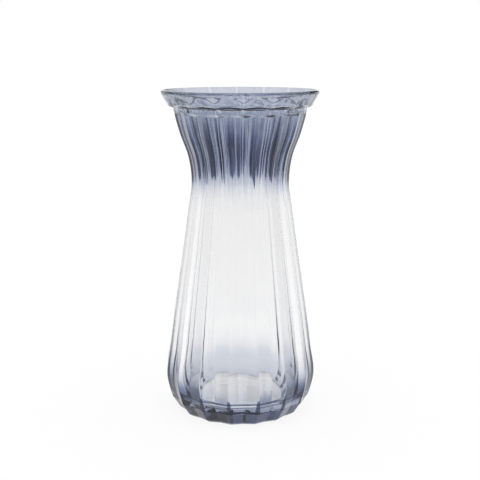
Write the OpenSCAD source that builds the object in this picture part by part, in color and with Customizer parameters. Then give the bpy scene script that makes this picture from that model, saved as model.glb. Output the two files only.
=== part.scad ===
// Glass bud vase: a fluted flower vase with a thick base, a narrow waist and a flared collar.
// Millimetres. The vase stands on the plane z = 0 with its axis along Z.

/* [Foot and heel] */
// Radius over the flute ridges where the vase stands
foot_r = 37.0; // [34:0.5:38]
// Height of the rounded edge round the foot
foot_edge_h = 2.0; // [1:0.25:3]
// Radius over the ridges at the top of that edge
foot_edge_r = 39.4; // [38.5:0.1:41]
// Rise of the straight bevel, from the foot edge to the crease at its top
bevel_rise = 6.6; // [4.5:0.1:8.5]
// Inset of that crease from the widest point
crease_inset = 3.3; // [2:0.1:5]
// Radius of the shallow hollow under the base
punt_r = 27.0; // [20:0.5:29]
// Depth of the shallow hollow under the base
punt_depth = 0.4; // [0.2:0.1:1.2]

/* [Body] */
// Rise from the crease to the widest point
belly_rise = 13.4; // [10:0.1:16]
// Radius over the ridges at the widest point
belly_r = 47.0; // [46:0.1:50]
// Rise from the widest point to the start of the straight taper
taper_start_rise = 20.0; // [16:0.5:26]
// Inset of the start of the straight taper from the widest point
taper_start_inset = 2.3; // [1.5:0.1:4]
// Height of the whole vase, which sets the length of the straight taper
vase_h = 200.0; // [176:1:226]
// Radius over the ridges at the end of the straight taper
taper_end_r = 32.8; // [32:0.1:36]

/* [Waist and neck] */
// Rise from the end of the taper to the waist
waist_rise = 20.0; // [14:0.5:26]
// Radius over the ridges at the waist
waist_r = 30.3; // [28:0.1:31.5]
// Rise from the waist to the start of the flare
flare_start_rise = 14.0; // [10:0.5:18]
// Radius over the ridges at the start of the flare
flare_start_r = 32.1; // [31.6:0.1:33.5]
// Rise from the start of the flare to its end
flare_rise = 16.0; // [12:0.5:22]
// Radius over the ridges at the end of the flare
flare_end_r = 37.7; // [36:0.1:39]
// Rise from the end of the flare to the top of the neck
neck_top_rise = 14.3; // [11:0.1:17]
// Radius of the plain round band at the top of the neck
neck_top_r = 40.7; // [39.5:0.1:42]

/* [Collar] */
// Height of the collar
collar_h = 9.7; // [8:0.1:13]
// Width of the ledge by which the collar stands out over the neck
collar_step = 2.9; // [1.5:0.1:4]
// Radius of the collar at the lip
rim_r = 48.9; // [47.5:0.1:51]
// Thickness of the lip
lip_t = 2.8; // [2.4:0.1:3.6]
// Rounding of the two edges of the lip
lip_round = 1.2; // [0.4:0.1:1.3]
// Rounding of the collar's lower edge
collar_edge_round = 1.4; // [0.6:0.1:2]

/* [Flutes] */
// Number of flutes round the vase
flute_count = 16; // [12:1:20]
// Slope of the two faces of a flute, measured from the round
flute_slope = 12.0; // [6:0.5:14]
// Width of the blunt crest of a ridge
crest_w = 1.0; // [0.4:0.1:1.6]
// Turn of the ridges about the axis, measured from +X
flute_turn = 14.0; // [0:0.5:22]
// Height over which the flutes run out under the collar
runout_h = 1.6; // [1:0.1:5]
// Height of the plain band between the flutes and the collar
band_h = 3.0; // [1.5:0.1:4]

/* [Glass] */
// Thickness of the wall behind the bottom of a flute
wall_t = 2.4; // [1.8:0.1:3]
// Thickness of the solid base
base_t = 10.5; // [8:0.25:12]
// Width of the curve between the inner floor and the wall
inner_corner_w = 13.0; // [8:0.5:16]
// Height of that curve
inner_corner_h = 6.0; // [4:0.5:10]

/* [Hidden] */
$fn = 96;
// Run of a cut past the face that it opens
past = 1;
// Least share of the lip's thickness that stays flat between its two rounded edges
lip_flat_share = 0.05;

blue_glass = [0.33, 0.38, 0.56, 0.7];
clear_glass = [0.90, 0.92, 0.94, 0.4];
smoke_glass = [0.45, 0.52, 0.66, 0.6];

crease_r = belly_r - crease_inset;
taper_start_r = belly_r - taper_start_inset;
below_taper = foot_edge_h + bevel_rise + belly_rise + taper_start_rise;
above_taper = waist_rise + flare_start_rise + flare_rise + neck_top_rise + collar_h;
taper_rise = vase_h - below_taper - above_taper;

// Outer profile over the ridges, from the foot up, as [station, rise from the last station, radius]
profile = [
    ["foot", 0, foot_r],
    ["foot edge", foot_edge_h, foot_edge_r],
    ["crease", bevel_rise, crease_r],
    ["belly", belly_rise, belly_r],
    ["taper start", taper_start_rise, taper_start_r],
    ["taper end", taper_rise, taper_end_r],
    ["waist", waist_rise, waist_r],
    ["flare start", flare_start_rise, flare_start_r],
    ["flare end", flare_rise, flare_end_r],
    ["neck top", neck_top_rise, neck_top_r]
];
last = len(profile) - 1;

// Index of a station in the profile
function station(name) = search([name], profile)[0];

// Height of a station: the sum of the rises up to it
function station_z(i) = profile[i][1] + (i == 0 ? 0 : station_z(i - 1));

profile_z = [for (i = [0:last]) station_z(i)];
profile_r = [for (stop = profile) stop[2]];
// The profile turns sharply at the crease
crease = station("crease");

// Slope of the straight line between two stations
function chord(i) = (profile_r[i + 1] - profile_r[i]) / (profile_z[i + 1] - profile_z[i]);

// Slope of the profile at an inner station: the slope of the parabola through it and its neighbours
function inner_slope(i) =
    let (below = profile_z[i] - profile_z[i - 1], above = profile_z[i + 1] - profile_z[i])
    (chord(i - 1) * above + chord(i) * below) / (below + above);

// Slope of a curve at its free end, from the chord to the next station and the slope there
function free_slope(chord_slope, far_slope) = (3 * chord_slope - far_slope) / 2;

// Slope of the profile just below a station; the bevel under the crease is straight and the neck ends upright
function slope_below(i) =
    i == last ? 0 : i == crease ? chord(i - 1) : i == crease - 1 ? chord(i) : inner_slope(i);

// Slope of the profile just above a station
function slope_above(i) = i == 0 || i == crease ? free_slope(chord(i), slope_below(i + 1)) : slope_below(i);

// Index of the stretch of the profile that holds a height
function stretch(z, i = 0) = i >= last - 1 || z < profile_z[i + 1] ? i : stretch(z, i + 1);

// Radius over the ridges at a height: a cubic between the two stations round it
function ridge_r(z) =
    let (i = stretch(z), h = profile_z[i + 1] - profile_z[i], t = (z - profile_z[i]) / h)
    profile_r[i] * (1 - t) * (1 - t) * (1 + 2 * t)
    + profile_r[i + 1] * t * t * (3 - 2 * t)
    + h * slope_above(i) * t * (1 - t) * (1 - t)
    - h * slope_below(i + 1) * t * t * (1 - t);

crease_z = profile_z[crease];
neck_top_z = profile_z[last];
rim_z = neck_top_z + collar_h;
flute_step = 360 / flute_count;
// Full depth of a flute as a share of the radius over its ridges
flute_sink = PI / flute_count * tan(flute_slope);

// Share of the full flute depth at a height: whole up to the run-out, none in the plain band
function flute_share(z) =
    let (t = min(1, max(0, (neck_top_z - band_h - z) / runout_h)))
    t * t * (3 - 2 * t);

// Depth of a flute below its ridges at a height
function flute_depth(z) = ridge_r(z) * flute_sink * flute_share(z);

// Radius in the bottom of the flutes at a height
function valley_r(z) = ridge_r(z) - flute_depth(z);

// Radius of the smooth inner wall at a height, with the curved corner above the floor
function inner_r(z) =
    let (drop = max(0, 1 - (z - base_t) / inner_corner_h))
    ridge_r(z) * (1 - flute_sink) - wall_t - inner_corner_w * (1 - sqrt(max(0, 1 - drop * drop)));

// Angle from a ridge to the side of its blunt crest at a height
function crest_angle(z) = crest_w / 2 / ridge_r(z) * 180 / PI;

// Radius at the side of the blunt crest at a height
function crest_r(z) = ridge_r(z) - flute_depth(z) * crest_angle(z) / (flute_step / 2);

// Point of a ring, from its angle, radius and height
function ring_point(angle, radius, z) = [radius * cos(angle), radius * sin(angle), z];

// One ring of the fluted surface: for each flute a valley and the two sides of the next crest
function flute_ring(z) = [
    for (i = [0:flute_count - 1])
        let (ridge = flute_turn + i * flute_step, side = crest_angle(z))
        each [
            ring_point(ridge - flute_step / 2, valley_r(z), z),
            ring_point(ridge - side, crest_r(z), z),
            ring_point(ridge + side, crest_r(z), z)
        ]
];

// Heights of the rings between two heights, in even steps and at the crease
function ring_levels(low, high, steps) = [
    for (s = [0:steps])
        let (rise = (high - low) / steps, z = low + s * rise)
        each s < steps && z < crease_z && crease_z < z + rise ? [z, crease_z] : [z]
];

// Solid fluted glass with a ring at each of a list of heights
module fluted_solid(levels) {
    ring_n = 3 * flute_count;
    steps = len(levels) - 1;
    rings = [for (z = levels) each flute_ring(z)];
    low_centre = len(rings);
    high_centre = low_centre + 1;
    top = steps * ring_n;
    walls = [
        for (s = [0:steps - 1])
            for (i = [0:ring_n - 1])
                let (a = s * ring_n + i, b = s * ring_n + (i + 1) % ring_n)
                each [[a, a + ring_n, b], [b, a + ring_n, b + ring_n]]
    ];
    low_cap = [for (i = [0:ring_n - 1]) [low_centre, i, (i + 1) % ring_n]];
    high_cap = [for (i = [0:ring_n - 1]) [high_centre, top + (i + 1) % ring_n, top + i]];
    centres = [[0, 0, levels[0]], [0, 0, levels[steps]]];
    polyhedron(concat(rings, centres), concat(walls, low_cap, high_cap));
}

// The hollow of the vase between the first and last of a list of heights, run past both ends
module hollow(levels) {
    low = levels[0];
    high = levels[len(levels) - 1];
    rotate_extrude()
        polygon(concat(
            [[0, low - past], [inner_r(low), low - past]],
            [for (z = levels) [inner_r(z), z]],
            [[inner_r(high), high + past], [0, high + past]]
        ));
}

// Hollow ring of fluted glass between two heights
module fluted_wall(low, high, steps) {
    levels = ring_levels(low, high, steps);
    difference() {
        fluted_solid(levels);
        hollow(levels);
    }
}

belly_z = profile_z[station("belly")];
taper_start_z = profile_z[station("taper start")];
taper_end_z = profile_z[station("taper end")];
flare_start_z = profile_z[station("flare start")];

// Thick base with a shallow hollow under it
module base_floor() {
    cap_steps = 6;
    edge = ring_levels(0, foot_edge_h, steps = 3);
    above_edge = ring_levels(foot_edge_h, base_t, steps = 2);
    levels = concat(edge, [for (i = [1:len(above_edge) - 1]) above_edge[i]]);
    color(smoke_glass)
        difference() {
            fluted_solid(levels);
            rotate_extrude()
                polygon(concat(
                    [[0, -past], [punt_r, -past]],
                    [
                        for (s = [0:cap_steps])
                            let (share = 1 - s / cap_steps)
                            [punt_r * share, punt_depth * (1 - share * share)]
                    ]
                ));
        }
}

// Rounded turn from the base into the wall, with the curved inner corner
module fluted_heel() {
    color(smoke_glass)
        fluted_wall(base_t, belly_z, steps = 12);
}

// Widest part of the wall
module fluted_belly() {
    color(smoke_glass)
        fluted_wall(belly_z, taper_start_z, steps = 6);
}

// Long tapering wall
module fluted_body() {
    color(clear_glass)
        fluted_wall(taper_start_z, taper_end_z, steps = 8);
}

// Narrowest part of the wall
module fluted_waist() {
    color(blue_glass)
        fluted_wall(taper_end_z, flare_start_z, steps = 10);
}

// Flaring neck, where the flutes run out into a plain band
module fluted_neck() {
    color(blue_glass)
        fluted_wall(flare_start_z, neck_top_z, steps = 12);
}

// Direction from one point to another
function toward(from, to) = (to - from) / norm(to - from);

// Corner at b of an outline that comes from a and goes on to c, rounded by an arc
function round_corner(a, b, c, radius, steps = 6) =
    let (
        back = toward(b, a),
        on = toward(b, c),
        half = acos(back * on) / 2,
        centre = b + toward([0, 0], back + on) * radius / sin(half),
        first = b + back * radius / tan(half) - centre,
        final = b + on * radius / tan(half) - centre,
        start = atan2(first[1], first[0]),
        turn = (atan2(final[1], final[0]) - start + 540) % 360 - 180
    )
    [for (s = [0:steps]) centre + radius * [cos(start + turn * s / steps), sin(start + turn * s / steps)]];

// Length that an arc of radius 1 takes from each side of the corner at b
function corner_run(a, b, c) = 1 / tan(acos(toward(b, a) * toward(b, c)) / 2);

// Flared collar with a rounded lower edge and lip
module rim_collar() {
    inner_low = [inner_r(neck_top_z), neck_top_z];
    under = [neck_top_r, neck_top_z];
    low_edge = [neck_top_r + collar_step, neck_top_z];
    lip_out = [rim_r, rim_z];
    lip_in = [rim_r - lip_t, rim_z];
    arc_runs = corner_run(low_edge, lip_out, lip_in) + corner_run(lip_out, lip_in, inner_low);
    lip_arc = min(lip_round, (1 - lip_flat_share) * lip_t / arc_runs);
    color(blue_glass)
        rotate_extrude()
            polygon(concat(
                [inner_low, under],
                round_corner(under, low_edge, lip_out, collar_edge_round),
                round_corner(low_edge, lip_out, lip_in, lip_arc),
                round_corner(lip_out, lip_in, inner_low, lip_arc)
            ));
}

base_floor();
fluted_heel();
fluted_belly();
fluted_body();
fluted_waist();
fluted_neck();
rim_collar();
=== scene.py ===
"""Glass bud vase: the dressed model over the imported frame, with its floor, light and camera.

The vase is one closed glass shell. It is modelled in edit mode from a single ring, which is drawn up the
outside and given its flutes, and then drawn over the lip, down the inside and across the floor. The
underside is drawn last, from the same first ring. Lengths are in metres and angles in degrees, in the frame
of the solids.
"""

import logging
import math
from dataclasses import dataclass
from enum import Enum
from functools import cached_property
from typing import Callable, Sequence

import bmesh
import bpy
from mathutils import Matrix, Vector

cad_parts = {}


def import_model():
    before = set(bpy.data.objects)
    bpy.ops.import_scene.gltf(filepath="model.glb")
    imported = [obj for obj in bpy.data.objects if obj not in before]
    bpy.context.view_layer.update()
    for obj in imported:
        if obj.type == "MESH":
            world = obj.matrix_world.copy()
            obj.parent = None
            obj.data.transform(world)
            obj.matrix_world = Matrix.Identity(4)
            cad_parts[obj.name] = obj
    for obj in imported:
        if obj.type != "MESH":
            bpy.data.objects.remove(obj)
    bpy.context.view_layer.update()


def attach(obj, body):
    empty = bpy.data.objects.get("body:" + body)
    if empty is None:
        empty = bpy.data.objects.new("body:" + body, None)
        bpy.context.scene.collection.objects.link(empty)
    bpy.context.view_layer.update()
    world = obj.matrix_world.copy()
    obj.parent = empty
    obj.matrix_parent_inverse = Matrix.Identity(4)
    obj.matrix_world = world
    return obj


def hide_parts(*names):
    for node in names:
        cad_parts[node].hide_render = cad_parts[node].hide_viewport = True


logging.basicConfig(level=logging.INFO, format="%(message)s")
log = logging.getLogger("vase")

BODY = "root"
ORIGIN = (0.0, 0.0, 0.0)
WHITE = (1.0, 1.0, 1.0, 1.0)
# Heights closer together than this are the same.
SAME = 1e-6
# Step in height over which a slope is measured.
SLOPE_STEP = 1e-5
# How often light may turn in the glass.
BOUNCES = 96
# Share of a coat's effect that one crossing has, where the whole is for going in and out.
ONE_CROSSING = 0.5
# Mean value of a noise.
NOISE_MEAN = 0.5

Colour = tuple[float, float, float, float]
Point = tuple[float, float]
# Where a step starts and where it ends.
Span = tuple[float, float]
Socket = bpy.types.NodeSocket


class Skin(Enum):
    """The skins of the glass, by material slot of the shell: outside and lip, inside, and underside."""

    COATED = 0
    BARE = 1
    FOOT = 2


class Rise(Enum):
    """The ways in which a value goes from one end of a step to the other."""

    EVEN = "LINEAR"
    SMOOTH = "SMOOTHSTEP"


class Mixing(Enum):
    """The ways in which two colours become one."""

    SHARES = "MIX"
    TIMES = "MULTIPLY"


@dataclass(frozen=True)
class Station:
    """A named level of the outside.

    Attributes:
        rise: Height above the station below.
        radius: Radius over the ridges.
        steps: Number of rings drawn from the station below.
    """

    rise: float
    radius: float
    steps: int


@dataclass(frozen=True)
class Outline:
    """The outside of the fluted glass over its ridges, from the foot to the top of the neck."""

    foot: Station = Station(0.0, 0.0370, 0)
    foot_edge: Station = Station(0.0020, 0.0394, 6)
    crease: Station = Station(0.0066, 0.0437, 6)
    belly: Station = Station(0.0134, 0.0470, 12)
    taper_start: Station = Station(0.0200, 0.0447, 10)
    taper_end: Station = Station(0.0840, 0.0328, 20)
    waist: Station = Station(0.0200, 0.0303, 12)
    flare_start: Station = Station(0.0140, 0.0321, 10)
    flare_end: Station = Station(0.0160, 0.0377, 12)
    neck_top: Station = Station(0.0143, 0.0407, 22)

    @cached_property
    def stations(self) -> list[Station]:
        """All stations, from the foot up."""
        return [
            self.foot, self.foot_edge, self.crease, self.belly, self.taper_start,
            self.taper_end, self.waist, self.flare_start, self.flare_end, self.neck_top,
        ]

    @cached_property
    def heights(self) -> list[float]:
        """Height of each station."""
        total, levels = 0.0, []
        for station in self.stations:
            total += station.rise
            levels.append(total)
        return levels

    @cached_property
    def slopes(self) -> list[tuple[float, float]]:
        """How fast the radius grows with height just below and just above each station.

        The bevel under the crease is straight, the neck ends upright, and elsewhere the slope is that of the
        parabola through the neighbours.
        """
        z, r = self.heights, [s.radius for s in self.stations]
        last, crease = len(z) - 1, self.stations.index(self.crease)
        chords = [(r[i + 1] - r[i]) / (z[i + 1] - z[i]) for i in range(last)]
        below = [0.0] * (last + 1)
        for i in range(1, last):
            under, over = z[i] - z[i - 1], z[i + 1] - z[i]
            below[i] = (chords[i - 1] * over + chords[i] * under) / (under + over)
        below[crease - 1] = below[crease] = chords[crease - 1]
        above = list(below)
        for i in (0, crease):
            above[i] = (3 * chords[i] - below[i + 1]) / 2
        return list(zip(below, above))

    def ridge(self, z: float) -> float:
        """Radius over the ridges at a height.

        Args:
            z: Height above the floor.

        Returns:
            The radius, from a cubic between the two stations round that height.
        """
        levels, slopes = self.heights, self.slopes
        i = max(k for k in range(len(levels) - 1) if k == 0 or z >= levels[k])
        h = levels[i + 1] - levels[i]
        t = (z - levels[i]) / h
        low, high = self.stations[i].radius, self.stations[i + 1].radius
        return (
            low * (1 - t) ** 2 * (1 + 2 * t) + high * t * t * (3 - 2 * t)
            + h * slopes[i][1] * t * (1 - t) ** 2 - h * slopes[i + 1][0] * t * t * (1 - t)
        )

    def growth(self, z: float, toward: float) -> float:
        """Growth of the radius per unit of height at a height, on the side of a second height."""
        step = math.copysign(SLOPE_STEP, toward - z)
        return (self.ridge(z + step) - self.ridge(z)) / step

    def levels(self) -> list[float]:
        """Spaces the rings of the outside.

        Returns:
            The height of each ring, from the foot to the top of the neck.
        """
        rings, z = [0.0], self.heights
        for i, station in enumerate(self.stations[1:], start=1):
            rings += [z[i - 1] + (z[i] - z[i - 1]) * (k + 1) / station.steps for k in range(station.steps)]
        return rings


@dataclass(frozen=True)
class Mark:
    """A point of a flute, in a plan whose ridges have radius 1.

    Attributes:
        turn: Angle from the valley.
        radius: Distance from the axis.
        facing: Angle from the valley to which the glass faces there.
    """

    turn: float
    radius: float
    facing: float


@dataclass(frozen=True)
class Flutes:
    """The flutes round the glass: ridges with blunt crests, and narrow valleys between straight faces.

    Attributes:
        count: Number of flutes.
        slope: Angle between a straight face and the round.
        turn: Angle of the first ridge.
        crest_share: Half the width of a crest, as a share of a flute.
        face_share: Where a straight face has its middle point, as a share of a flute.
        valley_share: Half the width of a valley, as a share of a flute.
        runout: Height over which the flutes run out under the collar.
        band: Height of the plain band above them.
    """

    count: int = 16
    slope: float = 12.0
    turn: float = 14.0
    crest_share: float = 0.030
    face_share: float = 0.25
    valley_share: float = 0.016
    runout: float = 0.0016
    band: float = 0.0030

    @property
    def step(self) -> float:
        """Angle from one flute to the next."""
        return 360.0 / self.count

    @property
    def first_valley(self) -> float:
        """Angle of the valley before the first ridge."""
        return self.turn - self.step / 2

    @property
    def sink(self) -> float:
        """Full depth of a flute as a share of the radius over its ridges."""
        return math.pi / self.count * math.tan(math.radians(self.slope))

    @cached_property
    def marks(self) -> list[Mark]:
        """Points of one flute, from just past its valley to just before the next."""
        half = math.radians(self.step) / 2
        valley = Vector((1 - self.sink, 0.0))
        ridge = Vector((math.cos(half), math.sin(half)))
        along = ridge - valley
        facing = math.atan2(-along.x, along.y)
        reach = valley.dot(Vector((math.cos(facing), math.sin(facing))))
        rising = []
        for share in (self.valley_share, self.face_share, 0.5 - self.crest_share):
            turn = share * 2 * half
            rising.append(Mark(math.degrees(turn), reach / math.cos(turn - facing), math.degrees(facing)))
        crest = Mark(self.step / 2, (1 + rising[-1].radius) / 2, self.step / 2)
        falling = [Mark(self.step - m.turn, m.radius, self.step - m.facing) for m in reversed(rising)]
        return [Mark(m.turn, m.radius / crest.radius, m.facing) for m in (*rising, crest, *falling)]

    def share(self, z: float, top: float) -> float:
        """Share of their full depth that the flutes have at a height, under a neck of some height."""
        t = min(1.0, max(0.0, (top - self.band - z) / self.runout))
        return t * t * (3 - 2 * t)

    def mark_at(self, place: Vector) -> Mark:
        """Finds which point of its flute a place on a ring is.

        Args:
            place: A place on a ring.

        Returns:
            The mark that lies at the same angle.
        """
        angle = math.degrees(math.atan2(place.y, place.x))
        turn = (angle - self.first_valley) % self.step
        return min(self.marks, key=lambda m: abs(m.turn - turn))


@dataclass(frozen=True)
class Collar:
    """The plain flared collar with its rounded lower edge and lip, and a wavy shoulder inside.

    Attributes:
        height: Height above the top of the neck.
        step: Width of the ledge round the neck.
        rim_radius: Radius of the lip before it is rounded.
        lip: Thickness of the lip.
        lip_round: Radius of its rounding.
        edge_round: Radius of the rounding of the lower edge.
        shoulder_radius: Radius of the shoulder before it is rounded.
        shoulder_rise: Height of the shoulder above the top of the neck.
        shoulder_round: Radius of its rounding.
        throat_drop: How far below the top of the neck the collar's inside ends.
        scallop: How far the shoulder's waves go up and down.
    """

    height: float = 0.0097
    step: float = 0.0029
    rim_radius: float = 0.0489
    lip: float = 0.0028
    lip_round: float = 0.0012
    edge_round: float = 0.0014
    shoulder_radius: float = 0.0417
    shoulder_rise: float = 0.0020
    shoulder_round: float = 0.0025
    throat_drop: float = 0.0005
    scallop: float = 0.0007


@dataclass(frozen=True)
class Glass:
    """Thickness of the glass, and the form of its base.

    Attributes:
        wall: Thickness of the wall behind the valleys.
        base: Thickness of the floor.
        corner_width: Width of the curved corner inside.
        corner_height: Height of that corner.
        punt_radius: Radius of the hollow underneath.
        punt_depth: Depth of that hollow.
        round_share: Where the underside has become round, as a share of the foot's radius.
    """

    wall: float = 0.0024
    base: float = 0.0105
    corner_width: float = 0.0130
    corner_height: float = 0.0060
    punt_radius: float = 0.0270
    punt_depth: float = 0.0004
    round_share: float = 0.93


@dataclass(frozen=True)
class Fineness:
    """Number of rings in each stretch of the collar, the inside and the underside.

    Attributes:
        edge: The rounding of the collar's lower edge.
        flare: The outside of the collar.
        lip_outside: The outer rounding of the lip.
        lip_inside: The inner rounding of the lip.
        collar_inside: The inside of the collar, down to the shoulder.
        shoulder: The rounding of the shoulder.
        throat: From the shoulder to the inside of the neck.
        corner: The curved corner over the floor.
        corner_gap: Least height from that corner to the ring above it.
        floor: Radii of the rings on the floor, as shares of its edge.
        punt: The hollow underneath.
    """

    edge: int = 6
    flare: int = 5
    lip_outside: int = 8
    lip_inside: int = 6
    collar_inside: int = 4
    shoulder: int = 8
    throat: int = 3
    corner: int = 14
    corner_gap: float = 0.001
    floor: tuple[float, ...] = (0.75, 0.5, 0.25, 0.08)
    punt: int = 10


@dataclass(frozen=True)
class Streaks:
    """A noise that can be drawn out along the height.

    Attributes:
        across: Waves per metre across the vase.
        along: Waves per metre along its height.
        detail: Number of finer layers.
        shift: How far the pattern is moved, in waves.
    """

    across: float
    along: float
    detail: float
    shift: float = 0.0


class NodeSheet:
    """The nodes of a new material or world, with short calls for adding them."""

    def __init__(self, owner: bpy.types.Material | bpy.types.World) -> None:
        """Starts with no nodes.

        Args:
            owner: The material or world.
        """
        owner.use_nodes = True
        self.tree = owner.node_tree
        self.tree.nodes.clear()

    def fill(self, slot: Socket, value: Socket | float | Colour) -> None:
        """Links a socket to an input, or sets the input to a value.

        Args:
            slot: The input.
            value: The socket or the value.
        """
        if isinstance(value, Socket):
            self.tree.links.new(value, slot)
        else:
            slot.default_value = value

    def add(self, kind: str, **values: Socket | float | Colour) -> bpy.types.Node:
        """Adds a node.

        Args:
            kind: The node's type name.
            **values: Output sockets to link, or values to set, by the name of the input.

        Returns:
            The new node.
        """
        node = self.tree.nodes.new(kind)
        for name, value in values.items():
            self.fill(node.inputs[name], value)
        return node

    def math(self, operation: str, *values: Socket | float) -> Socket:
        """Adds a Math node.

        Args:
            operation: The node's operation.
            *values: Its inputs in order.

        Returns:
            The node's output.
        """
        node = self.add("ShaderNodeMath")
        node.operation = operation
        for slot, value in zip(node.inputs, values):
            self.fill(slot, value)
        return node.outputs["Value"]

    def product(self, first: Socket, *others: Socket | float) -> Socket:
        """Multiplies two or more values.

        Args:
            first: The first value.
            *others: The other values.

        Returns:
            The product's output.
        """
        for other in others:
            first = self.math("MULTIPLY", first, other)
        return first

    def ramp(self, value: Socket, span: Span, ends: Span = (0.0, 1.0), rise: Rise = Rise.SMOOTH) -> Socket:
        """Adds a step from one value to another.

        Args:
            value: What is mapped.
            span: Where the step starts and where it ends.
            ends: The results before and after it.
            rise: How the result goes from one to the other.

        Returns:
            The step's output.
        """
        node = self.add("ShaderNodeMapRange", Value=value)
        node.interpolation_type = rise.value
        limits = ("From Min", "From Max", "To Min", "To Max")
        for name, limit in zip(limits, (*span, *ends)):
            node.inputs[name].default_value = limit
        return node.outputs["Result"]

    def bands(self, value: Socket, stops: Sequence[Point]) -> Socket:
        """Adds a grey that follows a value.

        Args:
            value: What is followed, between 0 and 1.
            stops: The grey at each value, in rising order.

        Returns:
            The grey as a colour.
        """
        node = self.add("ShaderNodeValToRGB", Fac=value)
        elements = node.color_ramp.elements
        while len(elements) < len(stops):
            elements.new(0.5)
        for element, (place, grey) in zip(elements, stops):
            element.position = place
            element.color = (grey, grey, grey, 1.0)
        return node.outputs["Color"]

    def noise(self, place: Socket, streaks: Streaks) -> Socket:
        """Adds a noise.

        Args:
            place: The coordinates.
            streaks: How the noise is drawn out.

        Returns:
            The noise's value, mostly between 0.25 and 0.75.
        """
        stretch = self.add(
            "ShaderNodeMapping",
            Vector=place,
            Location=(streaks.shift, 0.0, 0.0),
            Scale=(streaks.across, streaks.across, streaks.along),
        )
        waves = stretch.outputs["Vector"]
        return self.add("ShaderNodeTexNoise", Vector=waves, Scale=1.0, Detail=streaks.detail).outputs["Fac"]

    def level(self, share: Socket, first: Socket | float, second: Socket | float) -> Socket:
        """Mixes two numbers, by the share of the second one."""
        return self.add("ShaderNodeMix", Factor=share, A=first, B=second).outputs["Result"]

    def blend(
        self,
        share: Socket | float,
        first: Socket | Colour,
        second: Socket | Colour,
        mixing: Mixing = Mixing.SHARES,
    ) -> Socket:
        """Mixes two colours.

        Args:
            share: How much of the second colour there is.
            first: The first colour.
            second: The second colour.
            mixing: The way of mixing.

        Returns:
            The mixed colour's output.
        """
        node = self.add("ShaderNodeMix")
        node.data_type = "RGBA"
        node.blend_type = mixing.value
        slots = {s.identifier: s for s in node.inputs}
        self.fill(slots["Factor_Float"], share)
        self.fill(slots["A_Color"], first)
        self.fill(slots["B_Color"], second)
        return next(s for s in node.outputs if s.identifier == "Result_Color")

    def mix(self, share: Socket | float, first: Socket, second: Socket) -> Socket:
        """Mixes two shaders.

        Args:
            share: How much of the second shader there is.
            first: The first shader.
            second: The second shader.

        Returns:
            The mixed shader's output.
        """
        node = self.add("ShaderNodeMixShader", Fac=share)
        for slot, shader in zip(node.inputs[1:], (first, second)):
            self.fill(slot, shader)
        return node.outputs["Shader"]

    def clear(self, tint: Socket, ior: float) -> Socket:
        """Adds a smooth glass shader, from its tint and its index of refraction."""
        values = {"Base Color": tint, "Roughness": 0.0, "IOR": ior, "Transmission Weight": 1.0}
        return self.add("ShaderNodeBsdfPrincipled", **values).outputs["BSDF"]

    def end(self, shader: Socket) -> None:
        """Makes a shader the surface of the material."""
        self.add("ShaderNodeOutputMaterial", Surface=shader)


@dataclass(frozen=True)
class Spot:
    """Where a point of the coat lies, as outputs of nodes.

    Attributes:
        place: Its Object coordinates.
        height: Height above the foot.
        around: Distance from the axis.
        ridge: Distance from the nearest ridge, 0 on a ridge and 0.5 in a valley.
        valley: 1 in a valley, and 0 elsewhere.
        slant: 1 where the coat is seen at a slant, and 0 where it faces the eye.
    """

    place: Socket
    height: Socket
    around: Socket
    ridge: Socket
    valley: Socket
    slant: Socket


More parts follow.
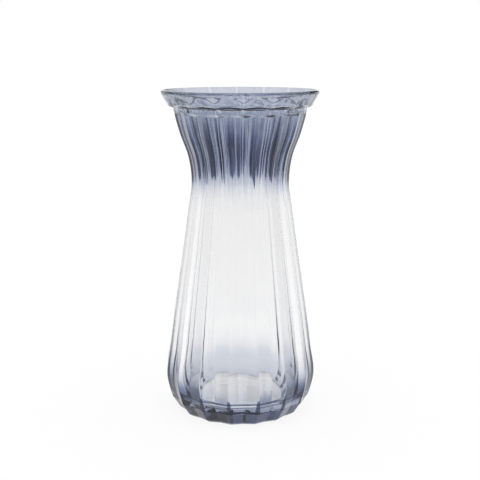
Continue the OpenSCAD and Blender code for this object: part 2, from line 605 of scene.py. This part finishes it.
@dataclass(frozen=True)
class BlueFade:
    """The translucent blue that is sprayed on the outside of the glass and fades out to clear.

    Heights are above the foot, and places across a flute go from 0 on its ridge to 0.5 in its valley.
    Besides the coat, the material holds painted shade on the bevel, at the foot of the ridges and partly at
    a slant, and painted highlight lines along the valleys of the upper coat.

    Attributes:
        flutes: The flutes along which the coat runs.
        name: The material's name.
        full: What light keeps when it goes in and out through a coat of full thickness.
        coat: Thickness of the coat at each height, as a share of the full one.
        glass_grey: Grey by which the glass is darkened at each height, most round the upper body.
        top: Height of the lip.
        upper: Heights between which the upper coat begins to be uneven.
        fine: Fine streaks in the upper coat.
        grain: How much the coat varies from streak to streak.
        sway: How much the height of its edge varies from streak to streak.
        valley: Places between which a valley begins.
        valley_highlight: Share of the coat taken out along the valleys of the upper coat, a painted
            highlight line in each valley.
        crest: Places between which a run on a ridge fades out.
        flank: Places between which a run beside a valley begins.
        flow: Broad streaks that make some runs stronger than others.
        flow_range: Values of those streaks that give the weakest and the strongest runs.
        flow_share: Strength of those runs.
        run_top: Heights between which the runs begin.
        run_tip: Heights between which the runs end where they are faint.
        run_gain: Extra thickness of the coat in the runs.
        drip: How much lower the strongest runs end.
        under_ring: Radii between which the coat ends on the underside.
        under_rise: Heights between which the coat is whole again.
        slant: Slants between which the coat looks thicker and the glass darker, partly for the longer path
            through them at a slant and partly as painted shade toward the sides.
        slant_top: Heights between which this begins on the coat of the lower wall.
        slant_foot: Heights between which it ends.
        slant_path_and_shade_gain: Extra thickness there, as a share of the coat, part longer path and part
            painted shade.
        slant_path_and_shade_loss: What light loses in the glass at a slant, part longer path and part
            painted shade.
        bevel_top: Heights between which the painted shade on the bevel begins.
        bevel_ring: Radii between which it ends.
        bevel_shade_gain: Strength of that painted shade, as extra thickness of the coat.
        spire: How far the painted spires of shade climb the ridges.
        spire_sides: Places between which it climbs.
        spire_edge: Places between which the painted spires have their edges.
        spire_tip: Heights between which its tip ends, as if it hadn't climbed.
        spire_foot: Heights between which it begins above the bevel.
        spire_shade_gain: Strength of the painted spires, as extra thickness of the coat.
        thrown: Share of the coat's second crossing that counts for light that is thrown back.
        ior: Index of refraction.
    """

    flutes: Flutes = Flutes()
    name: str = "blue_fade_glass"
    full: Colour = (0.202, 0.244, 0.368, 1.0)
    coat: tuple[Point, ...] = (
        (0.0000, 0.60), (0.0120, 0.52), (0.0160, 0.48), (0.0184, 0.48), (0.0220, 0.36), (0.0260, 0.20),
        (0.0320, 0.08), (0.0420, 0.00), (0.1300, 0.00), (0.1370, 0.06), (0.1420, 0.22), (0.1470, 0.55),
        (0.1530, 0.80), (0.1650, 0.85), (0.1760, 0.78), (0.1850, 0.78), (0.1890, 0.75), (0.1899, 0.10),
        (0.1912, 0.10), (0.1925, 0.30), (0.2000, 0.30),
    )
    glass_grey: tuple[Point, ...] = (
        (0.0000, 0.97), (0.0650, 0.97), (0.0900, 0.92), (0.1100, 0.88), (0.1350, 0.85), (0.1500, 0.93),
        (0.2000, 0.95),
    )
    top: float = 0.2000
    upper: Span = (0.100, 0.130)
    fine: Streaks = Streaks(600.0, 8.0, 3.0)
    grain: float = 1.0
    sway: float = 0.010
    valley: Span = (0.46, 0.485)
    valley_highlight: float = 0.5
    crest: Span = (0.22, 0.10)
    flank: Span = (0.38, 0.43)
    flow: Streaks = Streaks(150.0, 6.0, 2.0, shift=7.3)
    flow_range: Span = (0.36, 0.64)
    flow_share: Span = (0.4, 1.0)
    run_top: Span = (0.188, 0.165)
    run_tip: Span = (0.158, 0.161)
    run_gain: float = 3.4
    drip: float = 0.016
    under_ring: Span = (0.0345, 0.0355)
    under_rise: Span = (0.0013, 0.0016)
    slant: Span = (0.18, 0.50)
    slant_top: Span = (0.080, 0.050)
    slant_foot: Span = (0.0100, 0.0170)
    slant_path_and_shade_gain: float = 5.5
    slant_path_and_shade_loss: float = 0.20
    bevel_top: Span = (0.0092, 0.0082)
    bevel_ring: Span = (0.035, 0.036)
    bevel_shade_gain: float = 2.2
    spire: float = 0.0085
    spire_sides: Span = (0.11, 0.03)
    spire_edge: Span = (0.12, 0.08)
    spire_tip: Span = (0.0100, 0.0085)
    spire_foot: Span = (0.0080, 0.0088)
    spire_shade_gain: float = 2.2
    thrown: float = 0.3
    ior: float = 1.5

    def material(self) -> bpy.types.Material:
        """Builds the node material.

        Returns:
            Glass under a coat whose thickness follows the height on the vase, with runs along the flutes.
        """
        made = bpy.data.materials.new(self.name)
        nodes = NodeSheet(made)
        spot = self.spot(nodes)
        fine = nodes.math("SUBTRACT", nodes.noise(spot.place, self.fine), NOISE_MEAN)
        sway = nodes.math("MULTIPLY", fine, self.sway)
        runs = self.runs(nodes, spot, sway)
        thick = nodes.math("MULTIPLY_ADD", runs, self.run_gain, self.sprayed(nodes, spot, fine, sway))
        # Painted shade on the bevel and at the foot of the ridges darkens only the coat seen from outside.
        seen = nodes.math("ADD", self.foot_shade(nodes, spot), thick)
        outer, inner = (self.tint(nodes, layer) for layer in (seen, thick))
        # Darker glass at a slant, partly for the longer path through it and partly as painted shade toward
        # the sides.
        slant_path_and_shade = nodes.math("MULTIPLY_ADD", spot.slant, -self.slant_path_and_shade_loss, 1.0)
        glass_grey = nodes.product(self.by_height(nodes, spot.height, self.glass_grey), slant_path_and_shade)
        nodes.end(self.glass(nodes, outer, inner, glass_grey))
        return made

    def tint(self, nodes: NodeSheet, thick: Socket) -> Socket:
        """Adds what light keeps in a coat, from the thickness of the coat."""
        return nodes.add("ShaderNodeGamma", Color=self.full, Gamma=thick).outputs["Color"]

    def glass(self, nodes: NodeSheet, outer: Socket, inner: Socket, glass_grey: Socket) -> Socket:
        """Adds the glass under its coat, which also tints the light that the glass throws back inside.

        Args:
            nodes: The material's nodes.
            outer: What light keeps in the coat as it is seen from outside.
            inner: What light keeps in the coat as it is seen through the glass.
            glass_grey: Grey by which the glass is darkened where it is seen from outside, by height and,
                partly as painted shade, at a slant.

        Returns:
            The shader's output.
        """
        outside = nodes.clear(nodes.blend(1.0, outer, glass_grey, Mixing.TIMES), self.ior)
        once = nodes.add("ShaderNodeGamma", Color=inner, Gamma=ONE_CROSSING).outputs["Color"]
        mirrored = nodes.add("ShaderNodeFresnel", IOR=self.ior).outputs["Fac"]
        tint = nodes.blend(nodes.math("MULTIPLY", mirrored, self.thrown), once, inner)
        inside = nodes.add("ShaderNodeBsdfGlass", Color=tint, Roughness=0.0, IOR=self.ior)
        turned = nodes.add("ShaderNodeNewGeometry").outputs["Backfacing"]
        return nodes.mix(turned, outside, inside.outputs["BSDF"])

    def spot(self, nodes: NodeSheet) -> Spot:
        """Adds the nodes that tell where a point of the coat lies.

        Args:
            nodes: The material's nodes.

        Returns:
            Their outputs.
        """
        place = nodes.add("ShaderNodeTexCoord").outputs["Object"]
        x, y, height = nodes.add("ShaderNodeSeparateXYZ", Vector=place).outputs
        around = nodes.math("SQRT", nodes.math("MULTIPLY_ADD", x, x, nodes.math("MULTIPLY", y, y)))
        per_radian, first = self.flutes.count / (2 * math.pi), self.flutes.turn / self.flutes.step
        flute = nodes.math("MULTIPLY_ADD", nodes.math("ARCTAN2", y, x), per_radian, -first)
        ridge = nodes.math("PINGPONG", flute, 0.5)
        facing = nodes.add("ShaderNodeLayerWeight").outputs["Facing"]
        return Spot(
            place, height, around, ridge,
            valley=nodes.ramp(ridge, self.valley), slant=nodes.ramp(facing, self.slant),
        )

    def runs(self, nodes: NodeSheet, spot: Spot, sway: Socket) -> Socket:
        """Adds the runs of the upper coat along the ridges and beside the valleys.

        Args:
            nodes: The material's nodes.
            spot: Where the point lies.
            sway: How much higher the point counts for the edge of the coat.

        Returns:
            1 in the strongest runs, and 0 outside them.
        """
        flow = nodes.ramp(nodes.noise(spot.place, self.flow), self.flow_range, self.flow_share)
        flank = nodes.math("SUBTRACT", nodes.ramp(spot.ridge, self.flank), spot.valley)
        lines = nodes.product(nodes.math("MAXIMUM", nodes.ramp(spot.ridge, self.crest), flank), flow)
        reach = nodes.math("MULTIPLY_ADD", lines, self.drip, nodes.math("ADD", spot.height, sway))
        return nodes.product(nodes.ramp(reach, self.run_tip), lines, nodes.ramp(spot.height, self.run_top))

    def sprayed(self, nodes: NodeSheet, spot: Spot, fine: Socket, sway: Socket) -> Socket:
        """Adds the coat without its runs.

        Args:
            nodes: The material's nodes.
            spot: Where the point lies.
            fine: The fine streaks, round 0.
            sway: How much higher the point counts for the edge of the coat.

        Returns:
            The thickness of the coat, with its painted highlight lines in the valleys and its painted shade
            at a slant.
        """
        upper = nodes.ramp(spot.height, self.upper)
        coat = self.by_height(nodes, nodes.math("MULTIPLY_ADD", sway, upper, spot.height), self.coat)
        rise = nodes.ramp(spot.height, self.under_rise)
        coat = nodes.product(coat, nodes.math("MAXIMUM", nodes.ramp(spot.around, self.under_ring), rise))
        grain = nodes.math("MULTIPLY", fine, self.grain)
        # The coat is thinned along the valleys into painted highlight lines.
        uneven = nodes.product(nodes.math("MULTIPLY_ADD", spot.valley, -self.valley_highlight, grain), upper)
        thick = nodes.math("MULTIPLY_ADD", uneven, coat, coat)
        # On the lower wall the coat is thicker at a slant, partly for the longer path through it and partly
        # as painted shade toward the sides.
        top, foot = (nodes.ramp(spot.height, span) for span in (self.slant_top, self.slant_foot))
        lower = nodes.product(spot.slant, top, foot)
        return nodes.product(thick, nodes.math("MULTIPLY_ADD", lower, self.slant_path_and_shade_gain, 1.0))

    def foot_shade(self, nodes: NodeSheet, spot: Spot) -> Socket:
        """Adds painted shade, as extra coat thickness, on the bevel and in spires at the foot of the ridges.

        Args:
            nodes: The material's nodes.
            spot: Where the point lies.

        Returns:
            The extra thickness of painted shade.
        """
        # Painted spires: dark shade that climbs the foot of each ridge.
        slope = nodes.ramp(spot.ridge, self.spire_sides)
        climb = nodes.math("MULTIPLY_ADD", slope, -self.spire, spot.height)
        painted_spires = nodes.product(
            nodes.ramp(climb, self.spire_tip),
            nodes.ramp(spot.ridge, self.spire_edge),
            nodes.ramp(spot.height, self.spire_foot),
            self.spire_shade_gain,
        )
        # Painted shade on the bevel.
        ring = nodes.ramp(spot.around, self.bevel_ring)
        bevel = nodes.product(nodes.ramp(spot.height, self.bevel_top), ring)
        return nodes.math("MULTIPLY_ADD", bevel, self.bevel_shade_gain, painted_spires)

    def by_height(self, nodes: NodeSheet, height: Socket, stops: tuple[Point, ...]) -> Socket:
        """Adds a value that follows the height on the vase, as a grey, from its stops at some heights."""
        shares = [(level / self.top, value) for level, value in stops]
        return nodes.bands(nodes.math("DIVIDE", height, self.top), shares)


@dataclass(frozen=True)
class BareGlass:
    """The bare inside of the glass.

    Attributes:
        name: The material's name.
        tint: What light keeps where the glass is clearest.
        cloud: What it keeps in the faint clouds.
        clouds: The pattern of the clouds.
        ior: Index of refraction.
    """

    name: str = "clear_inner_glass"
    tint: Colour = (0.95, 0.95, 0.953, 1.0)
    cloud: Colour = (0.91, 0.912, 0.918, 1.0)
    clouds: Streaks = Streaks(60.0, 60.0, 2.0)
    ior: float = 1.5

    def material(self) -> bpy.types.Material:
        """Builds the node material.

        Returns:
            Clear glass with faint clouds in its tint.
        """
        made = bpy.data.materials.new(self.name)
        nodes = NodeSheet(made)
        place = nodes.add("ShaderNodeTexCoord").outputs["Object"]
        tint = nodes.blend(nodes.noise(place, self.clouds), self.tint, self.cloud)
        nodes.end(nodes.clear(tint, self.ior))
        return made


@dataclass
class RingTool:
    """Draws a shell ring by ring in edit mode. The ring last drawn is the one that is selected.

    Attributes:
        shell: The mesh object, in edit mode.
        flutes: The flutes that set the points of each ring.
        skinned: Number of faces that have their skin.
    """

    shell: bpy.types.Object
    flutes: Flutes
    skinned: int = 0

    def mesh(self) -> bmesh.types.BMesh:
        """The shell's mesh as it is in edit mode."""
        return bmesh.from_edit_mesh(self.shell.data)

    def show(self) -> None:
        """Passes a new selection on to the operators."""
        bmesh.update_edit_mesh(self.shell.data)

    def pick(self, wanted: Callable[[bmesh.types.BMVert], bool]) -> None:
        """Selects some points and nothing else.

        Args:
            wanted: Tells whether a point is to be selected.
        """
        mesh = self.mesh()
        for part in (mesh.faces, mesh.edges):
            for item in part:
                item.select = False
        for vert in mesh.verts:
            vert.select = wanted(vert)
        mesh.select_flush_mode()
        self.show()

    def pick_level(self, z: float) -> None:
        """Selects the points at a height."""
        self.pick(lambda v: abs(v.co.z - z) < SAME)

    @staticmethod
    def scale(share: float) -> None:
        """Scales what is selected towards the axis."""
        bpy.ops.transform.resize(value=(share, share, 1.0), center_override=ORIGIN)

    def space_marks(self) -> None:
        """Turns each point of the first ring to its place in its flute."""
        marks = self.flutes.marks
        mesh = self.mesh()
        verts = sorted(mesh.verts, key=lambda v: math.atan2(v.co.y, v.co.x) % (2 * math.pi))
        radius = verts[0].co.xy.length
        for i, vert in enumerate(verts):
            flute, mark = divmod(i, len(marks))
            angle = math.radians(self.flutes.first_valley + self.flutes.step * flute + marks[mark].turn)
            vert.co.x, vert.co.y = radius * math.cos(angle), radius * math.sin(angle)
            vert.select = True
        mesh.select_flush_mode()
        self.show()

    def draw(self, radius: float, z: float) -> None:
        """Extrudes the selected ring to a new size and height.

        Args:
            radius: Largest radius of the new ring.
            z: Its height.
        """
        picked = [v for v in self.mesh().verts if v.select]
        old_radius, old_z = max(v.co.xy.length for v in picked), picked[0].co.z
        bpy.ops.mesh.extrude_edges_move(TRANSFORM_OT_translate={"value": (0.0, 0.0, z - old_z)})
        self.scale(radius / old_radius)

    def draw_path(self, path: list[Point]) -> None:
        """Draws a ring at each point (radius, height) of an outline."""
        for radius, z in path:
            self.draw(radius, z)

    def cut_flutes(self, top: float) -> None:
        """Presses the flutes into all the rings drawn so far.

        Args:
            top: Height of the top of the neck.
        """
        flutes = self.flutes
        levels = sorted({round(v.co.z, 7) for v in self.mesh().verts})
        full = max(z for z in levels if flutes.share(z, top) == 1.0)
        fading = [z for z in levels if 0.0 < flutes.share(z, top) < 1.0]
        for mark in flutes.marks:
            self.pick(lambda v: v.co.z < full + SAME and flutes.mark_at(v.co) == mark)
            self.scale(mark.radius)
            for z in fading:
                self.pick(lambda v: abs(v.co.z - z) < SAME and flutes.mark_at(v.co) == mark)
                self.scale(1 - (1 - mark.radius) * flutes.share(z, top))

    def round_off(self, radius: float) -> None:
        """Brings the selected ring back to a round.

        Args:
            radius: Radius of the round.
        """
        for vert in self.mesh().verts:
            if vert.select:
                vert.co.xy = vert.co.xy.normalized() * radius
        self.show()

    def scallop(self, low: float, high: float, reach: float, height: float) -> None:
        """Lifts the glass over the ridges and lowers it over the valleys, most of all halfway up.

        Args:
            low: The lower height, which stays level.
            high: The upper height, which stays level.
            reach: Radius within which the glass is moved.
            height: How far the waves go up and down.
        """
        for vert in self.mesh().verts:
            if low < vert.co.z < high and vert.co.xy.length < reach:
                angle = math.atan2(vert.co.y, vert.co.x) - math.radians(self.flutes.turn)
                swell = math.sin(math.pi * (vert.co.z - low) / (high - low))
                vert.co.z += height * swell * math.cos(angle * self.flutes.count)
        self.show()

    def close(self) -> None:
        """Closes the selected ring in a point at its middle."""
        bpy.ops.mesh.extrude_edges_move(TRANSFORM_OT_translate={"value": ORIGIN})
        bpy.ops.mesh.merge(type="CENTER")

    def give_skin(self, skin: Skin) -> None:
        """Gives a skin to the faces that have none yet.

        Args:
            skin: The skin.
        """
        mesh = self.mesh()
        mesh.faces.ensure_lookup_table()
        for face in mesh.faces[self.skinned:]:
            face.material_index = skin.value
        self.skinned = len(mesh.faces)
        self.show()


def straight(start: Point, end: Point, short: float, steps: int) -> list[Point]:
    """Points along a straight line, without its ends.

    Args:
        start: First end, as (radius, height).
        end: Second end.
        short: Length left off before the second end.
        steps: Number of parts.

    Returns:
        The points between.
    """
    a, b = Vector(start), Vector(end)
    b -= (b - a).normalized() * short
    return [tuple(a.lerp(b, k / steps)) for k in range(1, steps)]


def round_corner(before: Point, corner: Point, after: Point, radius: float, steps: int) -> list[Point]:
    """Rounds a corner of an outline by an arc.

    Args:
        before: Point before the corner, as (radius, height).
        corner: The corner.
        after: Point after it.
        radius: Radius of the arc.
        steps: Number of parts of the arc.

    Returns:
        The points of the arc.
    """
    b = Vector(corner)
    back, on = (Vector(before) - b).normalized(), (Vector(after) - b).normalized()
    half = back.angle(on) / 2
    centre = b + (back + on).normalized() * (radius / math.sin(half))
    first, last = (b + d * (radius / math.tan(half)) - centre for d in (back, on))
    start = math.atan2(first.y, first.x)
    turn = (math.atan2(last.y, last.x) - start + math.pi) % (2 * math.pi) - math.pi
    arc = [start + turn * k / steps for k in range(steps + 1)]
    return [(centre.x + radius * math.cos(a), centre.y + radius * math.sin(a)) for a in arc]


@dataclass
class VaseShell:
    """The whole glass, as one closed shell in place of all the solids.

    Attributes:
        outline: The outside of the fluted glass.
        flutes: The flutes in it.
        collar: The collar on top of it.
        glass: The thickness of the glass.
        fineness: How finely the rest is drawn.
        smooth_angle: Angle from which on an edge looks sharp.
        fade: The finish of the outside.
        bare: The finish of the inside.
        nodes: The solids that the shell stands for.
    """

    outline: Outline = Outline()
    flutes: Flutes = Flutes()
    collar: Collar = Collar()
    glass: Glass = Glass()
    fineness: Fineness = Fineness()
    smooth_angle: float = 30.0
    fade: BlueFade = BlueFade()
    bare: BareGlass = BareGlass()
    nodes: tuple[str, ...] = (
        "base_floor", "fluted_heel", "fluted_belly", "fluted_body",
        "fluted_waist", "fluted_neck", "rim_collar",
    )

    @property
    def neck_top(self) -> float:
        """Height of the top of the neck."""
        return self.outline.heights[-1]

    @property
    def rim_top(self) -> float:
        """Height of the lip."""
        return self.neck_top + self.collar.height

    @property
    def throat(self) -> float:
        """Height at which the inside of the collar meets that of the neck."""
        return self.neck_top - self.collar.throat_drop

    @property
    def ledge_radius(self) -> float:
        """Radius of the collar's lower edge before it is rounded."""
        return self.outline.neck_top.radius + self.collar.step

    def inner_radius(self, z: float) -> float:
        """Radius of the smooth inside at a height.

        Args:
            z: Height above the floor.

        Returns:
            The radius, with the curved corner above the inner floor.
        """
        drop = max(0.0, 1 - (z - self.glass.base) / self.glass.corner_height)
        inset = self.glass.corner_width * (1 - math.sqrt(max(0.0, 1 - drop * drop)))
        return self.outline.ridge(z) * (1 - self.flutes.sink) - self.glass.wall - inset

    def collar_path(self) -> list[Point]:
        """Outline of the collar.

        Returns:
            Points (radius, height) from the top of the neck round the lip to the inside of the neck.
        """
        c, rings, top, low = self.collar, self.fineness, self.rim_top, self.neck_top
        under, edge = (self.outline.neck_top.radius, low), (self.ledge_radius, low)
        lip_out, lip_in = (c.rim_radius, top), (c.rim_radius - c.lip, top)
        shoulder = (c.shoulder_radius, low + c.shoulder_rise)
        throat = (self.inner_radius(self.throat), self.throat)
        path = round_corner(under, edge, lip_out, c.edge_round, rings.edge)
        path += straight(path[-1], lip_out, c.lip_round * 2, rings.flare)
        path += round_corner(edge, lip_out, lip_in, c.lip_round, rings.lip_outside)
        path += round_corner(lip_out, lip_in, shoulder, c.lip_round, rings.lip_inside)
        turn = round_corner(lip_in, shoulder, throat, c.shoulder_round, rings.shoulder)
        path += straight(path[-1], turn[0], 0.0, rings.collar_inside) + turn
        path += straight(turn[-1], throat, 0.0, rings.throat)
        return path

    def inside_path(self) -> list[Point]:
        """Outline of the inside, down from the collar.

        Returns:
            Points (radius, height) down the wall, round the corner and across the floor.
        """
        floor, rise, rings = self.glass.base, self.glass.corner_height, self.fineness
        lowest = floor + rise + rings.corner_gap
        levels = [z for z in reversed(self.outline.levels()) if lowest < z < self.throat + SAME]
        for k in range(rings.corner + 1):
            levels.append(floor + rise * (1 - math.sin(math.radians(90.0 * k / rings.corner))))
        path = [(self.inner_radius(z), z) for z in levels]
        edge = path[-1][0]
        return path + [(edge * share, floor) for share in rings.floor]

    def underside_path(self) -> list[Point]:
        """Points (radius, height) from the standing ring across the shallow hollow to near its middle."""
        shares = [1 - k / self.fineness.punt for k in range(self.fineness.punt)]
        return [(self.glass.punt_radius * k, self.glass.punt_depth * (1 - k * k)) for k in shares]

    def build(self) -> bpy.types.Object:
        """Models the shell.

        Returns:
            The finished mesh object.
        """
        bpy.ops.object.select_all(action="DESELECT")
        bpy.ops.mesh.primitive_circle_add(
            vertices=self.flutes.count * len(self.flutes.marks), radius=self.outline.foot.radius,
        )
        shell = bpy.context.object
        shell.name = shell.data.name = "fluted_vase"
        bpy.ops.object.mode_set(mode="EDIT")
        bpy.ops.mesh.select_mode(type="VERT")
        ring = RingTool(shell, self.flutes)
        self.draw_outside(ring)
        self.draw_inside(ring)
        self.draw_underside(ring)
        bpy.ops.mesh.select_all(action="SELECT")
        bpy.ops.mesh.normals_make_consistent(inside=False)
        bpy.ops.object.mode_set(mode="OBJECT")
        bpy.ops.object.shade_smooth_by_angle(angle=math.radians(self.smooth_angle))
        self.face_flutes(shell)
        return shell

    def draw_outside(self, ring: RingTool) -> None:
        """Draws the fluted outside and the collar.

        Args:
            ring: Holds the first ring.
        """
        ring.space_marks()
        ring.draw_path([(self.outline.ridge(z), z) for z in self.outline.levels()[1:]])
        ring.cut_flutes(self.neck_top)
        ring.pick_level(self.neck_top)
        ring.draw_path(self.collar_path())
        ring.give_skin(Skin.COATED)

    def draw_inside(self, ring: RingTool) -> None:
        """Draws the inside and gives the collar's shoulder its waves.

        Args:
            ring: Holds the last ring of the collar.
        """
        ring.draw_path(self.inside_path())
        ring.close()
        ring.scallop(self.throat, self.rim_top, self.ledge_radius, self.collar.scallop)
        ring.give_skin(Skin.BARE)

    def draw_underside(self, ring: RingTool) -> None:
        """Draws the underside from the first ring.

        Args:
            ring: Holds the shell with its outside and inside.
        """
        ring.pick_level(0.0)
        round_radius = self.outline.foot.radius * self.glass.round_share
        ring.draw(round_radius, 0.0)
        ring.round_off(round_radius)
        ring.draw_path(self.underside_path())
        ring.close()
        ring.give_skin(Skin.FOOT)

    def face_flutes(self, shell: bpy.types.Object) -> None:
        """Gives the flutes the shading of flat faces with rounded ridges and valleys.

        Args:
            shell: The mesh object.
        """
        mesh = shell.data
        fluted_top = self.neck_top - self.flutes.band - self.flutes.runout
        normals = [Vector(ORIGIN)] * len(mesh.loops)
        for face in mesh.polygons:
            if face.material_index == Skin.COATED.value and face.center.z < fluted_top:
                for corner in face.loop_indices:
                    place = mesh.vertices[mesh.loops[corner].vertex_index].co
                    normals[corner] = self.fluted_normal(place, face.center.z)
        mesh.normals_split_custom_set(normals)

    def fluted_normal(self, place: Vector, toward: float) -> Vector:
        """Where the fluted glass faces at one of its points.

        Args:
            place: The point.
            toward: A height on the side of the face in question.

        Returns:
            The direction, of length 1.
        """
        flutes = self.flutes
        mark = flutes.mark_at(place)
        angle = math.degrees(math.atan2(place.y, place.x))
        flute = round((angle - flutes.first_valley - mark.turn) / flutes.step)
        facing = math.radians(flutes.first_valley + flute * flutes.step + mark.facing)
        across = Vector((math.cos(facing), math.sin(facing), 0.0))
        rise = self.outline.growth(place.z, toward) * place.dot(across) / self.outline.ridge(place.z)
        return (across - Vector((0.0, 0.0, rise))).normalized()

    def dress(self, shell: bpy.types.Object) -> None:
        """Gives the shell its finishes and its place in the frame.

        Args:
            shell: The mesh object.
        """
        coated = self.fade.material()
        finishes = {Skin.COATED: coated, Skin.BARE: self.bare.material(), Skin.FOOT: coated}
        for skin in Skin:
            shell.data.materials.append(finishes[skin])
        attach(shell, BODY)
        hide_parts(*self.nodes)


@dataclass(frozen=True)
class Studio:
    """A white floor and backdrop with soft light all round, and the camera of the photograph.

    Attributes:
        floor_size: Length of the floor's sides.
        floor_drop: How far the floor lies under the foot.
        floor_colour: Colour of the floor.
        floor_glow: Share of the floor's white that doesn't depend on the light on it.
        floor_light: Brightness of the light on the floor.
        backdrop: Brightness of the white behind the vase.
        room: Headings, along the view, between which the glass shows the room and then the backdrop.
        room_level: Brightness of the room behind the camera.
        strip: How much of a dim strip there is at each rise of the line of sight, 0 for level and 1 for up.
        strip_turn: Headings aside between which the strip goes from its left to its right side.
        strip_level: Brightness of its left and of its right side.
        camera_distance: Distance of the camera from the vase's axis.
        camera_height: Height of the camera.
        camera_tilt: Angle by which it looks down.
        lens: Its focal length, in millimetres.
        sensor: Width of its picture, in millimetres.
    """

    floor_size: float = 60.0
    floor_drop: float = 0.0002
    floor_colour: Colour = (0.93, 0.93, 0.935, 1.0)
    floor_glow: float = 0.88
    floor_light: float = 1.15
    backdrop: float = 1.0
    room: Span = (-0.5, 0.2)
    room_level: float = 0.70
    strip: tuple[Point, ...] = ((0.0, 0.0), (0.10, 0.0), (0.22, 1.0), (0.42, 1.0), (0.58, 0.0))
    strip_turn: Span = (-0.06, 0.06)
    strip_level: Span = (0.8, 0.0)
    camera_distance: float = 0.5819
    camera_height: float = 0.2234
    camera_tilt: float = 11.287
    lens: float = 71.3
    sensor: float = 36.0

    def floor(self) -> None:
        """Adds the floor."""
        bpy.ops.object.select_all(action="DESELECT")
        bpy.ops.mesh.primitive_plane_add(size=self.floor_size, location=(0.0, 0.0, -self.floor_drop))
        floor = bpy.context.object
        floor.name = "floor"
        white = bpy.data.materials.new("white_floor")
        nodes = NodeSheet(white)
        matt = nodes.add("ShaderNodeBsdfDiffuse", Color=self.floor_colour).outputs["BSDF"]
        glow = nodes.add("ShaderNodeEmission").outputs["Emission"]
        nodes.end(nodes.mix(self.floor_glow, matt, glow))
        floor.data.materials.append(white)

    def world(self) -> None:
        """Lights the scene from all round, with a dimmer room and a dim strip in what the glass shows."""
        world = bpy.data.worlds.new("soft_studio")
        bpy.context.scene.world = world
        nodes = NodeSheet(world)
        sight = nodes.add("ShaderNodeTexCoord").outputs["Generated"]
        aside, ahead, up = nodes.add("ShaderNodeSeparateXYZ", Vector=sight).outputs
        room = nodes.ramp(ahead, self.room, (self.room_level, 1.0))
        dim = nodes.ramp(aside, self.strip_turn, self.strip_level, Rise.EVEN)
        strength = nodes.product(room, nodes.level(nodes.bands(up, self.strip), 1.0, dim))
        rays = nodes.add("ShaderNodeLightPath").outputs
        for kind, bright in (("Is Diffuse Ray", self.floor_light), ("Is Camera Ray", self.backdrop)):
            strength = nodes.level(rays[kind], strength, bright)
        back = nodes.add("ShaderNodeBackground", Color=WHITE, Strength=strength)
        nodes.add("ShaderNodeOutputWorld", Surface=back.outputs["Background"])

    def camera(self) -> None:
        """Adds the camera at the photograph's place."""
        bpy.ops.object.camera_add(
            location=(0.0, -self.camera_distance, self.camera_height),
            rotation=(math.radians(90.0 - self.camera_tilt), 0.0, 0.0),
        )
        camera = bpy.context.object
        camera.data.lens = self.lens
        camera.data.sensor_width = self.sensor
        bpy.context.scene.camera = camera


def main() -> None:
    """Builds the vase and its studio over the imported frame."""
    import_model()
    scene = bpy.context.scene
    scene.view_settings.view_transform = "Standard"
    scene.cycles.max_bounces = BOUNCES
    scene.cycles.glossy_bounces = BOUNCES
    scene.cycles.transmission_bounces = BOUNCES
    studio = Studio()
    studio.camera()
    studio.world()
    studio.floor()
    vase = VaseShell()
    shell = vase.build()
    vase.dress(shell)
    log.info("%s: %d faces in place of %s", shell.name, len(shell.data.polygons), ", ".join(vase.nodes))


if __name__ == "__main__":
    main()
